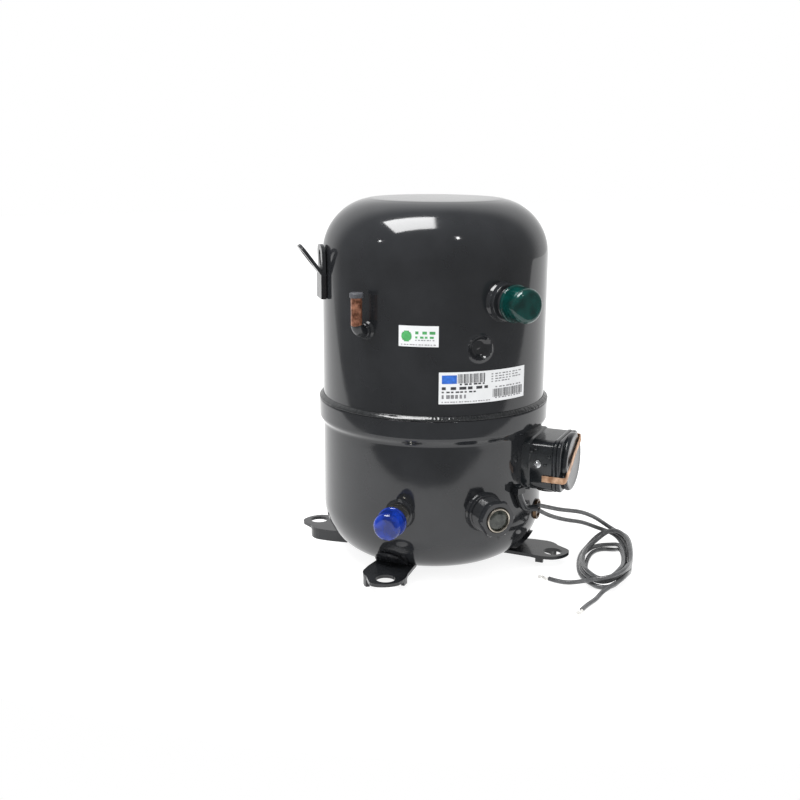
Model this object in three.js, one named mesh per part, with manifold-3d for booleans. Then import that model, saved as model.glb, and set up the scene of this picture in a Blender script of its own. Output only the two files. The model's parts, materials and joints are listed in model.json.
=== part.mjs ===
// Hermetic reciprocating refrigeration compressor, built up from its separate parts.
// Units are millimetres, +Z is up and the feet stand on z = 0.
// X and Y run along the sides of the square foot pattern, and the shell axis is
// the construction axis. The finished group is then centred on its own box.
// Azimuths are degrees around the shell axis, counter-clockwise from +X.
import * as THREE from 'three';
import { mergeVertices } from 'three/addons/utils/BufferGeometryUtils.js';
import Module from 'manifold-3d';

const wasm = await Module();
wasm.setup();

// ---- driving dimensions ----
const GAP = 0.3;
const SHELL_R = 115.5;
const WALL = 4;
const BASE_Z = 4;
const TOP_Z = 375;
const TOP_CORNER = 56;
const BASE_CORNER = 54;
const BELL_R = 119.8;
const BELL_BOTTOM = 150.5;
const BELL_TOP = 170;
const SHELL_SEGMENTS = 44;

const FOOT_PITCH = 190.5;
const FOOT_HOLE_R = 9.75;
const FOOT_PLATE_Z = 9;
const SHEET = 3.4;

const SUCTION = { azimuth: -80.5, z: 283 };
const DISCHARGE = { azimuth: -131.5, z: 74 };
const SIGHT = { azimuth: -89, z: 75 };
const TERMINAL = { azimuth: -47, z: 114 };
const PROCESS = { azimuth: -150, z: 254 };
const HEATER = { azimuth: -45, z: 57 };
const LUG_AZIMUTH = 170;

const PUMP_Z = 110;
const CRANK_RADIUS = 10;
const JOURNAL_R = 12;
const ECCENTRIC_R = 20;
const PISTON_R = 21.7;
const BORE_R = 22;
const STATOR_BOTTOM = 204;
const STATOR_TOP = 296;

// ---- helpers ----
const radians = THREE.MathUtils.degToRad;

// A closed solid from a three.js geometry: vertices merged, slivers at the poles dropped,
// and the surface turned outside out.
function solid(geometry) {
  const bare = geometry.clone();
  bare.deleteAttribute('normal');
  bare.deleteAttribute('uv');
  const merged = mergeVertices(bare, 1e-4);
  const position = merged.attributes.position;
  const corners = [0, 1, 2].map(() => new THREE.Vector3());
  const triangles = [];
  let volume = 0;
  for (let i = 0; i < merged.index.count; i += 3) {
    const ids = [0, 1, 2].map((k) => merged.index.getX(i + k));
    if (new Set(ids).size < 3) continue;
    triangles.push(ids);
    ids.forEach((id, k) => corners[k].fromBufferAttribute(position, id));
    volume += corners[0].dot(corners[1].clone().cross(corners[2]));
  }
  if (volume < 0) triangles.forEach((ids) => ids.reverse());
  return new wasm.Manifold(new wasm.Mesh({
    numProp: 3,
    vertProperties: new Float32Array(position.array),
    triVerts: new Uint32Array(triangles.flat()),
  }));
}

const join = (...parts) => wasm.Manifold.union(parts);
const cut = (part, ...tools) => part.subtract(join(...tools));

// Revolves [radius, z] pairs about the Z axis.
function lathe(profile, segments = 32) {
  const points = profile.map(([r, z]) => new THREE.Vector2(r, z));
  if (profile[0][0] > 0) points.push(points[0].clone());
  return solid(new THREE.LatheGeometry(points, segments).rotateX(Math.PI / 2));
}

const rod = (r, z0, z1, segments = 20) => lathe([[0, z0], [r, z0], [r, z1], [0, z1]], segments);

const sleeve = (inner, outer, z0, z1, segments = 20) => lathe(
  [[inner, z0], [outer, z0], [outer, z1], [inner, z1]], segments);

function block(x0, x1, y0, y1, z0, z1) {
  const box = new THREE.BoxGeometry(x1 - x0, y1 - y0, z1 - z0);
  return solid(box.translate((x0 + x1) / 2, (y0 + y1) / 2, (z0 + z1) / 2));
}

function prism(shape, z0, z1, curveSegments = 2) {
  const options = { depth: z1 - z0, bevelEnabled: false, curveSegments };
  return solid(new THREE.ExtrudeGeometry(shape, options).translate(0, 0, z0));
}

function roundedRectangle(width, height, radius) {
  const x = width / 2 - radius;
  const y = height / 2 - radius;
  const shape = new THREE.Shape();
  shape.absarc(x, y, radius, 0, Math.PI / 2);
  shape.absarc(-x, y, radius, Math.PI / 2, Math.PI);
  shape.absarc(-x, -y, radius, Math.PI, Math.PI * 1.5);
  shape.absarc(x, -y, radius, Math.PI * 1.5, Math.PI * 2);
  return shape;
}

function hexagon(acrossFlats) {
  const corner = acrossFlats / Math.sqrt(3);
  const turns = [0, 1, 2, 3, 4, 5].map((k) => (k * Math.PI) / 3);
  return new THREE.Shape(turns.map((a) => new THREE.Vector2(corner * Math.cos(a), corner * Math.sin(a))));
}

// Sweeps a round section, optionally hollow, along a smooth line through the points.
function tube(points, radius, { steps = 16, sides = 8, bore = 0 } = {}) {
  const section = new THREE.Shape();
  section.absarc(0, 0, radius, 0, Math.PI * 2);
  if (bore > 0) {
    const hole = new THREE.Path();
    hole.absarc(0, 0, bore, 0, Math.PI * 2);
    section.holes.push(hole);
  }
  const line = points.map(([x, y, z]) => new THREE.Vector3(x, y, z));
  const extrudePath = new THREE.CatmullRomCurve3(line, false, 'centripetal');
  const options = { steps, extrudePath, bevelEnabled: false, curveSegments: sides / 2 };
  return solid(new THREE.ExtrudeGeometry(section, options));
}

const arc = (cx, cy, r, from, to, count) => Array.from({ length: count + 1 }, (_, i) => {
  const a = radians(from + ((to - from) * i) / count);
  return [cx + r * Math.cos(a), cy + r * Math.sin(a)];
});

// Turns a part built along +Z so that it points radially outwards at an azimuth.
// Its own x then runs round the shell and its own y points up.
function radial(part, { azimuth, z }) {
  const a = radians(azimuth);
  const out = new THREE.Vector3(Math.cos(a), Math.sin(a), 0);
  const up = new THREE.Vector3(0, 0, 1);
  const around = up.clone().cross(out);
  const matrix = new THREE.Matrix4().makeBasis(around, up, out).setPosition(0, 0, z);
  return part.transform(matrix.elements.slice());
}

const turn = (part, azimuth) => part.rotate([0, 0, azimuth]);
const move = (part, x, y, z) => part.translate([x, y, z]);
const upright = (part) => part.rotate([90, 0, 0]);

const group = new THREE.Group();
group.name = 'hermetic_reciprocating_compressor';

function add(name, part, color, roughness, metalness) {
  const mesh = part.getMesh();
  const geometry = new THREE.BufferGeometry();
  geometry.setAttribute('position', new THREE.BufferAttribute(new Float32Array(mesh.vertProperties), 3));
  geometry.setIndex(new THREE.BufferAttribute(new Uint32Array(mesh.triVerts), 1));
  const node = new THREE.Mesh(geometry, new THREE.MeshStandardMaterial({ color, roughness, metalness }));
  node.name = name;
  group.add(node);
}

// Finishes: [colour, roughness, metalness]
const ENAMEL = [0x15181b, 0.22, 0.1];
const BLACK_PLASTIC = [0x16191c, 0.35, 0.0];
const COPPER = [0xb8683c, 0.35, 0.9];
const CAST_IRON = [0x55585a, 0.7, 0.6];
const STEEL = [0xa9adb1, 0.35, 0.9];
const RUBBER = [0x26282b, 0.7, 0.0];

// ---- pressed shell: a deep cup set into the belled rim of a shallow one and welded ----
// The whole outside of the shell, grown by an allowance, as one closed blank.
function shellBlank(allowance) {
  const low = arc(SHELL_R - BASE_CORNER, BASE_Z + BASE_CORNER, BASE_CORNER + allowance, -90, 0, 10);
  const high = arc(SHELL_R - TOP_CORNER, TOP_Z - TOP_CORNER, TOP_CORNER + allowance, 0, 90, 10);
  return lathe([[0, BASE_Z - allowance], ...low, ...high, [0, TOP_Z + allowance]], SHELL_SEGMENTS * 2);
}
const clearance = shellBlank(GAP + 0.05);

const topArc = (r) => arc(SHELL_R - TOP_CORNER, TOP_Z - TOP_CORNER, r, 0, 90, 5);
const baseArc = (r) => arc(SHELL_R - BASE_CORNER, BASE_Z + BASE_CORNER, r, -90, 0, 5);
const upperBlank = lathe([
  [0, TOP_Z - WALL],
  ...topArc(TOP_CORNER - WALL).reverse(),
  [SHELL_R - WALL, BELL_BOTTOM + 3],
  [SHELL_R, BELL_BOTTOM + 3],
  ...topArc(TOP_CORNER),
  [0, TOP_Z],
], SHELL_SEGMENTS);
const lowerBlank = lathe([
  [0, BASE_Z],
  ...baseArc(BASE_CORNER),
  [SHELL_R, BELL_BOTTOM - 5],
  [BELL_R, BELL_BOTTOM],
  [BELL_R, BELL_TOP - 1],
  [BELL_R - 1, BELL_TOP],
  [SHELL_R + GAP, BELL_TOP],
  [SHELL_R + GAP, BELL_BOTTOM + 2],
  [SHELL_R - WALL, BELL_BOTTOM - 3],
  ...baseArc(BASE_CORNER - WALL).reverse(),
  [0, BASE_Z + WALL],
], SHELL_SEGMENTS);

const SUCTION_PIPE_R = 13;
const DISCHARGE_PIPE_R = 9.5;
const SIGHT_PIPE_R = 14;
const TERMINAL_R = 19;
const HEATER_R = 8;
const SLEEVE_R = 5.8;
const shellHole = (r, place) => radial(rod(r + GAP, 90, 130), place);
const DIMPLE = { azimuth: -93.3, z: 240 };
add('upper_shell', cut(
  upperBlank,
  shellHole(SUCTION_PIPE_R, SUCTION),
  shellHole(SLEEVE_R, PROCESS),
  radial(rod(12.5, SHELL_R - 1.2, SHELL_R + 5), DIMPLE),
), ...ENAMEL);
add('lower_shell', cut(
  lowerBlank,
  shellHole(DISCHARGE_PIPE_R, DISCHARGE),
  shellHole(SIGHT_PIPE_R, SIGHT),
  shellHole(TERMINAL_R, TERMINAL),
  shellHole(HEATER_R, HEATER),
), ...ENAMEL);
add('seam_weld', lathe([
  [SHELL_R + GAP, BELL_TOP + GAP],
  [BELL_R - 1, BELL_TOP + GAP],
  [BELL_R - 1.4, BELL_TOP + 2],
  [SHELL_R + 1.6, BELL_TOP + 4],
  [SHELL_R + GAP, BELL_TOP + 4.6],
], SHELL_SEGMENTS), ...ENAMEL);

// ---- feet: pressed paddles, hooked up the shell corner, with one long flange turned down ----
// A paddle is drawn about its bolt hole, with x reaching outwards and y towards its wide side.
const HOLE_REACH = FOOT_PITCH / Math.SQRT2;
const FOOT_ROOT = -52;
const FLANGE_Y = 29;
const HOOK = { y: 9, half: 18, top: 28 };
const skin = shellBlank(GAP + SHEET);

function paddleOutline() {
  const outline = new THREE.Shape();
  outline.moveTo(FOOT_ROOT, -14);
  outline.lineTo(-20, -16);
  outline.quadraticCurveTo(-8, -20, 4, -15.5);
  outline.quadraticCurveTo(13, -10, 15.5, 0);
  outline.quadraticCurveTo(18, 9, 12, 13);
  outline.quadraticCurveTo(6, 17, 1, 20);
  outline.quadraticCurveTo(-4, FLANGE_Y - 1, -13, FLANGE_Y);
  outline.lineTo(-26, FLANGE_Y);
  outline.lineTo(FOOT_ROOT, FLANGE_Y - 3);
  outline.closePath();
  return outline;
}

function flangeOutline() {
  const outline = new THREE.Shape();
  outline.moveTo(-46, FLANGE_Y - 2.4);
  outline.lineTo(-26, FLANGE_Y - 0.1);
  outline.lineTo(-13, FLANGE_Y - 0.1);
  outline.quadraticCurveTo(-5, FLANGE_Y - 1.5, -0.5, 21);
  outline.lineTo(-3, 18);
  outline.quadraticCurveTo(-7, FLANGE_Y - 5, -13, FLANGE_Y - SHEET);
  outline.lineTo(-26, FLANGE_Y - SHEET);
  outline.lineTo(-46, FLANGE_Y - 2.4 - SHEET);
  outline.closePath();
  return outline;
}

function foot(azimuth, wideSide) {
  const face = new THREE.Shape();
  face.moveTo(HOOK.y - HOOK.half, FOOT_PLATE_Z);
  face.lineTo(HOOK.y + HOOK.half, FOOT_PLATE_Z);
  face.quadraticCurveTo(HOOK.y + HOOK.half, HOOK.top, HOOK.y, HOOK.top);
  face.quadraticCurveTo(HOOK.y - HOOK.half, HOOK.top, HOOK.y - HOOK.half, FOOT_PLATE_Z);
  const hook = skin.intersect(radial(prism(face, 88, 118, 6), { azimuth: 0, z: 0 }));
  const sheet = join(
    prism(paddleOutline(), FOOT_PLATE_Z, FOOT_PLATE_Z + SHEET, 4),
    prism(flangeOutline(), 0, FOOT_PLATE_Z + 1, 4),
    block(-14, -6, -17.5, -17.5 + SHEET, 5, FOOT_PLATE_Z + 1));
  const hole = rod(FOOT_HOLE_R, 0, 20, 28);
  const paddle = join(move(cut(sheet, hole), HOLE_REACH, 0, 0), hook);
  const handed = wideSide > 0 ? paddle : paddle.mirror([0, 1, 0]);
  return turn(cut(handed, clearance), azimuth);
}
const FEET = { foot_front: [-135, -1], foot_right: [-45, 1], foot_rear: [45, -1], foot_left: [135, 1] };
Object.entries(FEET).forEach(([name, [azimuth, wideSide]]) => add(name, foot(azimuth, wideSide), ...ENAMEL));

// ---- lifting lug: a stem up the shell that opens into an outer and an inner ear ----
const LUG_WIDTH = 26;
const LUG_THICK = 3.4;
const LUG_STEM = 5.2;
const LUG_SEAT = SHELL_R + GAP + 0.1;
// A slotted plate that grows along +X from its root and is then tilted up.
function lugEar(length, tilt, slotLength, slotWidth) {
  const outline = new THREE.Shape();
  outline.moveTo(0, -LUG_WIDTH / 2);
  outline.lineTo(length - 10, -LUG_WIDTH / 2);
  outline.quadraticCurveTo(length, -LUG_WIDTH / 2, length, 0);
  outline.quadraticCurveTo(length, LUG_WIDTH / 2, length - 10, LUG_WIDTH / 2);
  outline.lineTo(0, LUG_WIDTH / 2);
  outline.closePath();
  const slot = prism(roundedRectangle(slotLength, slotWidth, slotWidth / 2 - 0.5), -5, 9);
  const plate = cut(prism(outline, 0, LUG_THICK, 5), move(slot, length - slotLength / 2 - 5.5, 0, 0));
  return plate.rotate([0, -tilt, 0]);
}
const lugStem = block(LUG_SEAT, LUG_SEAT + LUG_STEM, -LUG_WIDTH / 2, LUG_WIDTH / 2, 276, 303);
const lugOuter = move(lugEar(37, 53, 20, 13), LUG_SEAT + LUG_STEM - 0.9, 0, 299);
const lugInner = move(lugEar(29, 88, 16, 8), LUG_SEAT + LUG_THICK + 0.1, 0, 301);
add('lifting_lug', turn(join(lugOuter, lugInner, lugStem), LUG_AZIMUTH), ...ENAMEL);

// ---- process tube: copper elbow in a steel sleeve, closed by a rubber plug ----
const TUBE_R = 5.4;
const TUBE_REACH = 130.5;
const TUBE_TOP = 287;
add('process_sleeve', radial(sleeve(TUBE_R + GAP, SLEEVE_R + 2, 117, 122, 20), PROCESS), ...ENAMEL);
const elbow = tube([
  [104, 0, PROCESS.z], [114, 0, PROCESS.z], [124, 0, PROCESS.z], [128.6, 0, PROCESS.z + 1.9],
  [TUBE_REACH, 0, PROCESS.z + 6.5], [TUBE_REACH, 0, PROCESS.z + 18], [TUBE_REACH, 0, TUBE_TOP],
], TUBE_R, { steps: 12, sides: 10, bore: 4.2 });
add('process_tube', turn(elbow, PROCESS.azimuth), ...COPPER);
const plug = join(rod(6.8, TUBE_TOP + GAP, 292, 20), rod(3.7, TUBE_TOP - 9, TUBE_TOP + 2, 16));
add('process_plug', turn(move(plug, TUBE_REACH, 0, 0), PROCESS.azimuth), 0x3a3d42, 0.6, 0.0);

// ---- suction and discharge: brazed threaded spigots under push-on caps ----
// A radial part trimmed to sit on the outside of the shell.
const saddle = (part, place) => radial(part, place).subtract(clearance);

function spigot(place, { pipe, bore, collar, neck, thread, end }) {
  const straight = join(
    rod(pipe, 103, 126),
    rod(neck, 118, thread.start + 1),
    rod(thread.r, thread.start, end, 28));
  const body = join(radial(straight, place), saddle(rod(collar.r, 108, collar.end, 32), place));
  return cut(body, radial(rod(bore, 90, 200, 20), place));
}

function cap({ inner, outer, mouth, face }) {
  return lathe([
    [0, face - 3], [inner, face - 3], [inner, mouth], [outer + 0.6, mouth], [outer + 0.6, mouth + 3],
    [outer, mouth + 4], [outer - 0.4, face - 4], [outer - 1.6, face - 1.2], [outer - 4.5, face], [0, face],
  ], 28);
}
const SUCTION_THREAD_R = 15.9;
add('suction_spigot', spigot(SUCTION, {
  pipe: SUCTION_PIPE_R, bore: 11, collar: { r: 18.5, end: 123 }, neck: 14.5,
  thread: { r: SUCTION_THREAD_R, start: 125 }, end: 149,
}), ...ENAMEL);
add('suction_cap', radial(cap({
  inner: SUCTION_THREAD_R + GAP, outer: 17.2, mouth: 131, face: 155,
}), SUCTION), 0x0f5347, 0.25, 0.0);
const DISCHARGE_THREAD_R = 12.5;
add('discharge_spigot', spigot(DISCHARGE, {
  pipe: DISCHARGE_PIPE_R, bore: 7.5, collar: { r: 14, end: 119 }, neck: 10.5,
  thread: { r: DISCHARGE_THREAD_R, start: 137 }, end: 154,
}), ...ENAMEL);
add('discharge_cap', radial(cap({
  inner: DISCHARGE_THREAD_R + GAP, outer: 14, mouth: 139, face: 160,
}), DISCHARGE), 0x2148c8, 0.2, 0.0);

// ---- oil sight glass ----
const SIGHT_BORE = 12.6;
const SIGHT_SEAT = 136;
const sightBody = join(
  radial(join(rod(SIGHT_PIPE_R, 104, 122), rod(17.3, 119, SIGHT_SEAT, 32)), SIGHT),
  saddle(rod(19, 108, 121, 32), SIGHT));
add('sight_glass_spigot', cut(sightBody, radial(rod(SIGHT_BORE, 90, 200), SIGHT)), ...ENAMEL);
add('sight_glass_nut', radial(cut(
  prism(hexagon(33), SIGHT_SEAT + GAP, 143.5), rod(13.5, 130, 150, 28)), SIGHT), ...ENAMEL);
add('sight_glass_ring', radial(sleeve(10.6, 13.2, SIGHT_SEAT + GAP, 145, 28), SIGHT), ...STEEL);
add('sight_glass_lens', radial(rod(10.3, SIGHT_SEAT + 1, 143.6, 28), SIGHT), 0x2c3a33, 0.08, 0.0);

// ---- terminal box, cover and strap ----
const BOX_WIDTH = 68;
const BOX_HEIGHT = 52;
const BOX_FACE = 145;
const BOX_WALL = 2.6;
const COVER_FACE = 154.5;
const COVER_R = 30;
const ENTRY = { r: 8, along: -8, reach: 131 };
const boxShape = roundedRectangle(BOX_WIDTH, BOX_HEIGHT, 7);
const boxInside = roundedRectangle(BOX_WIDTH - 2 * BOX_WALL, BOX_HEIGHT - 2 * BOX_WALL, 5);
const boxTube = cut(
  prism(boxShape, 96, BOX_FACE),
  prism(boxInside, 90, 160),
  move(upright(rod(ENTRY.r + GAP, -5, 5, 20)), ENTRY.along, -BOX_HEIGHT / 2, ENTRY.reach),
  block(-40, -30, -16, -6, 126, 131),
  move(rod(2, -5, 5, 12).rotate([0, 90, 0]), -BOX_WIDTH / 2, 3, 126));
add('terminal_box', saddle(boxTube, TERMINAL), ...BLACK_PLASTIC);
const coverOuter = join(
  prism(boxShape, BOX_FACE + GAP, BOX_FACE + 4.5),
  lathe([
    [0, BOX_FACE + 4], [COVER_R, BOX_FACE + 4], [COVER_R, COVER_FACE - 3],
    [COVER_R - 3, COVER_FACE], [0, COVER_FACE],
  ], 36));
add('terminal_cover', radial(cut(coverOuter, rod(23.5, BOX_FACE, COVER_FACE - 3, 32)), TERMINAL),
  ...BLACK_PLASTIC);

// The strap runs out along the near side of the box, slants across the cover and
// turns down over its rim, where it hinges.
const STRAP = { width: 6.5, thick: 1, slant: 30, length: 66, level: -11.2, side: -BOX_WIDTH / 2 - 1.5 };
const strapTop = COVER_FACE + GAP + STRAP.thick;
const strapSide = block(
  STRAP.side, STRAP.side + STRAP.thick,
  STRAP.level - STRAP.width / 2, STRAP.level + STRAP.width / 2, 132, strapTop);
const strapAcross = block(-1, STRAP.length, -STRAP.width / 2, STRAP.width / 2, COVER_FACE + GAP, strapTop);
const strapHook = block(
  STRAP.length - STRAP.thick, STRAP.length, -STRAP.width / 2, STRAP.width / 2, COVER_FACE - 4.5, strapTop);
const strapSlanted = move(turn(join(strapAcross, strapHook), STRAP.slant), STRAP.side + 1.5, STRAP.level, 0);
const strapCorner = block(
  STRAP.side, STRAP.side + 8, STRAP.level - STRAP.width / 2, STRAP.level + STRAP.width / 2,
  COVER_FACE + GAP, strapTop);
add('cover_strap', radial(join(strapSide, strapSlanted, strapCorner), TERMINAL), ...COPPER);

const screw = join(
  rod(3.9, GAP, 1.6, 20), rod(2.6, 1, 2.4, 20), rod(1.7, -6, 1, 12)).rotate([0, -90, 0]);
add('earth_screw', radial(move(screw, -BOX_WIDTH / 2, 3, 126), TERMINAL), ...STEEL);
const bushing = cut(join(rod(ENTRY.r, -1, 5, 20), rod(13, -3, -GAP, 24)), rod(6, -20, 20, 20));
add('cable_entry', radial(move(
  bushing.rotate([-90, 0, 0]), ENTRY.along, -BOX_HEIGHT / 2, ENTRY.reach), TERMINAL), ...BLACK_PLASTIC);

const PIN_CIRCLE_R = 8.5;
const pinAt = (turnDegrees) => [
  PIN_CIRCLE_R * Math.cos(radians(turnDegrees)), PIN_CIRCLE_R * Math.sin(radians(turnDegrees)), 0];
const PIN_TURNS = [90, 210, 330];
const terminalBody = join(rod(TERMINAL_R, 104, 113, 20), sleeve(TERMINAL_R - 2, TERMINAL_R, 112, 117, 20));
add('hermetic_terminal', radial(cut(
  terminalBody, ...PIN_TURNS.map((t) => move(rod(1.9, 90, 130, 8), ...pinAt(t)))), TERMINAL), ...STEEL);
PIN_TURNS.forEach((t, i) => {
  add(`terminal_pin_${i + 1}`, radial(move(rod(1.6, 98, 128, 8), ...pinAt(t)), TERMINAL), ...STEEL);
});

// ---- labels: thin curved plates on the upper shell ----
function label(fromAzimuth, toAzimuth, z0, z1) {
  const inner = SHELL_R + GAP;
  const plate = new THREE.Shape();
  plate.absarc(0, 0, inner + 0.35, radians(fromAzimuth), radians(toAzimuth), false);
  plate.absarc(0, 0, inner, radians(toAzimuth), radians(fromAzimuth), true);
  return prism(plate, z0, z1, 6);
}
add('eco_label', label(-132.4, -113.4, 242, 262), 0xf2f4f2, 0.5, 0.0);
add('data_label', label(-113.1, -65.4, 186.5, 217.5), 0xeef0f0, 0.45, 0.0);

// ---- crankcase heater end and its clipped lead sheath ----
add('heater_plug', join(
  radial(rod(HEATER_R, 104, 116.5, 20), HEATER), saddle(rod(10.5, 108, 118, 24), HEATER)), ...COPPER);

const polar = (r, azimuth, z) => [r * Math.cos(radians(azimuth)), r * Math.sin(radians(azimuth)), z];
const SHEATH_R = 3.4;
const sheathLine = [
  polar(120.5, -70.6, 97), polar(120.5, -69.4, 88), polar(120.5, -67.4, 79),
  polar(121, -65, 72), polar(123, -62.4, 69.4), polar(128, -59.3, 68.9)];
const CLIP = { azimuth: -70.2, z: 92 };
const clipBlock = saddle(block(-5.5, 5.5, -3, 3, 110, 125.5), CLIP);
const tubeSpace = tube(sheathLine, SHEATH_R + GAP + 0.05, { steps: 10, sides: 8 });
add('lead_clip', cut(clipBlock, tubeSpace), ...STEEL);
add('lead_sheath', tube(sheathLine, SHEATH_R, { steps: 10, sides: 8 }), ...RUBBER);

// ---- heater leads: two runs down to the floor, a tied hank and two bare-ended tails ----
const LEAD_R = 2.2;
const lead = (points, steps) => tube(points, LEAD_R, { steps, sides: 8 });
add('lead_upper', lead([
  [67.4, -109.5, 71.4], [82.3, -104, 65.6], [101.2, -97.1, 58.2], [118.9, -90.6, 52.6], [137, -84, 46.5],
  [161.1, -75.1, 34], [177.2, -69.3, 22], [185, -66, 17.6], [190, -63.5, 16.6]], 30), ...RUBBER);
add('lead_lower', lead([
  [67.4, -109.5, 66.4], [78.6, -104.5, 59.2], [93.7, -98, 51.3], [117.6, -87.7, 41.2], [142.2, -77, 32.3],
  [164, -67.6, 21], [174, -63.6, 17.3], [180, -60.8, 16.6]], 30), ...RUBBER);

const HANK = { x: 142, y: -122.5, azimuth: 55.8, length: 165, width: 60, height: 14 };
const hankShape = roundedRectangle(HANK.length, HANK.width, HANK.width / 2 - 0.01);
add('lead_hank', move(turn(prism(hankShape, 0, HANK.height, 5), HANK.azimuth), HANK.x, HANK.y, 0), ...RUBBER);
const TAIL_Z = LEAD_R + 0.1;
add('lead_tail_1', lead([
  [80.5, -157.2, TAIL_Z], [76, -155, TAIL_Z], [71, -148.5, TAIL_Z], [66, -137.1, TAIL_Z]], 10), ...RUBBER);
add('lead_tail_2', lead([
  [90.5, -191, TAIL_Z], [86.5, -196.5, TAIL_Z], [79, -201.5, TAIL_Z], [69, -205.5, TAIL_Z],
  [54.7, -215.6, TAIL_Z]], 14), ...RUBBER);

// ---- pump: crankcase with two opposed cylinders, hung under the motor ----
const HOUSING = { r: 70, bottom: 80, top: 142 };
const CHAMBER = { x: 46, y: 45, top: 134 };
const BARREL_END = 84;
const HEAD_SHAPE = roundedRectangle(64, 60, 12);
const SPRING_REACH = 80;
const corners = [45, 135, 225, 315];
const atCorner = (part, azimuth) => turn(move(part, SPRING_REACH, 0, 0), azimuth);
const cylinderAt = (azimuth) => ({ azimuth, z: PUMP_Z });
const barrels = [0, 180].map((azimuth) => radial(
  join(rod(30, 40, BARREL_END, 24), prism(HEAD_SHAPE, BARREL_END - 8, BARREL_END)), cylinderAt(azimuth)));
const bores = [0, 180].map((azimuth) => radial(rod(BORE_R, 30, 90, 28), cylinderAt(azimuth)));
const framePlate = prism(roundedRectangle(140, 140, 26), HOUSING.top - 1, 150);
add('crankcase', cut(
  join(
    rod(HOUSING.r, HOUSING.bottom, HOUSING.top, 32), ...barrels, framePlate, rod(24, 140, 186, 28),
    ...corners.map((a) => atCorner(rod(8, 148, STATOR_BOTTOM - GAP, 16), a))),
  block(-CHAMBER.x, CHAMBER.x, -CHAMBER.y, CHAMBER.y, HOUSING.bottom - 5, CHAMBER.top),
  ...bores, rod(JOURNAL_R + GAP, 120, 200)), ...CAST_IRON);
const LOWER_JOURNAL_R = 9.5;
add('outboard_bearing', cut(
  join(prism(roundedRectangle(110, 106, 12), 71.7, HOUSING.bottom - GAP), rod(18, 60, 75)),
  rod(LOWER_JOURNAL_R + GAP, 50, 90)), ...CAST_IRON);

[['front', 180], ['back', 0]].forEach(([side, azimuth]) => {
  const place = cylinderAt(azimuth);
  const ports = [[-10, 9, 3.2], [10, 9, 3.2], [0, -9, 4]].map(([x, y, r]) => move(rod(r, 80, 95, 12), x, y, 0));
  const plateStart = BARREL_END + GAP;
  const headStart = plateStart + 3 + GAP;
  add(`valve_plate_${side}`, radial(
    cut(prism(HEAD_SHAPE, plateStart, plateStart + 3), ...ports), place), ...STEEL);
  const plenums = [[2, 25], [-25, -2]].map(([y0, y1]) => block(-26, 26, y0, y1, headStart - 1, headStart + 11));
  add(`cylinder_head_${side}`, radial(
    cut(prism(HEAD_SHAPE, headStart, headStart + 15), ...plenums), place), ...CAST_IRON);
});

// ---- scotch-yoke drive: the crankpin turns in a block that slides across the yoke ----
const YOKE = { x: 33.3, y: 43, z0: 98, z1: 122, slotY: 36 };
const BLOCK_HALF = 25;
const SHAFT_TOP = 330;
const GALLERY_R = 3;
add('crankshaft', cut(
  join(
    rod(JOURNAL_R, 124, SHAFT_TOP), rod(17, 123, 132), move(rod(ECCENTRIC_R, 96, 124, 32), CRANK_RADIUS, 0, 0),
    rod(LOWER_JOURNAL_R, 30, 97)),
  move(rod(GALLERY_R + GAP, SHAFT_TOP - 8, SHAFT_TOP + 5, 16), CRANK_RADIUS / 2, 0, 0)), ...STEEL);
add('gallery_plug', move(rod(GALLERY_R, SHAFT_TOP - 8 + GAP, SHAFT_TOP, 16), CRANK_RADIUS / 2, 0, 0), ...COPPER);
add('oil_pickup', lathe([
  [2.5, 14], [5, 14], [9, 24], [9, 30 - GAP], [5.5, 30 - GAP], [5.5, 25]], 20), ...STEEL);
add('slide_block', move(cut(
  block(-BLOCK_HALF, BLOCK_HALF, -BLOCK_HALF, BLOCK_HALF, YOKE.z0, YOKE.z1),
  rod(ECCENTRIC_R + GAP, 80, 140, 32)), CRANK_RADIUS, 0, 0), ...CAST_IRON);
const CROWN = 72;
const pistons = [0, 180].map((azimuth) => radial(
  join(cut(rod(PISTON_R, 46, CROWN, 28), rod(17.5, 40, CROWN - 6)), rod(8, YOKE.x - 2, CROWN - 3)),
  cylinderAt(azimuth)));
const yokeFrame = cut(
  prism(roundedRectangle(2 * YOKE.x, 2 * YOKE.y, 8), YOKE.z0, YOKE.z1),
  block(-BLOCK_HALF - GAP, BLOCK_HALF + GAP, -YOKE.slotY, YOKE.slotY, 90, 130));
add('piston_yoke', move(join(yokeFrame, ...pistons), CRANK_RADIUS, 0, 0), 0x9aa0a6, 0.4, 0.8);

// ---- motor: wound stator on the crankcase columns, rotor on the shaft ----
const ROTOR_R = 43.7;
const SLOT_COUNT = 12;
const slots = Array.from({ length: SLOT_COUNT }, (_, i) => (i * 360) / SLOT_COUNT + 15);
const slotTool = join(block(47, 66, -3.2, 3.2, 190, 310), block(40, 48, -1, 1, 190, 310));
add('stator_core', cut(
  sleeve(44.5, 92, STATOR_BOTTOM, STATOR_TOP, 36), ...slots.map((a) => turn(slotTool, a))), 0x8b8f93, 0.5, 0.8);
const slotBar = block(48, 65.6, -2.85, 2.85, STATOR_BOTTOM - 5, STATOR_TOP + 5);
add('stator_windings', join(
  sleeve(49.5, 70, STATOR_BOTTOM - 22, STATOR_BOTTOM - GAP, 24),
  sleeve(49.5, 70, STATOR_TOP + GAP, STATOR_TOP + 22, 24),
  ...slots.map((a) => turn(slotBar, a))), 0xb5602f, 0.5, 0.5);
add('rotor', join(
  sleeve(JOURNAL_R + GAP, ROTOR_R, STATOR_BOTTOM + 3, STATOR_TOP - 3, 28),
  sleeve(30, 41, STATOR_BOTTOM - 4, STATOR_TOP + 4, 28)), 0x9b9ea2, 0.45, 0.8);
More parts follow.
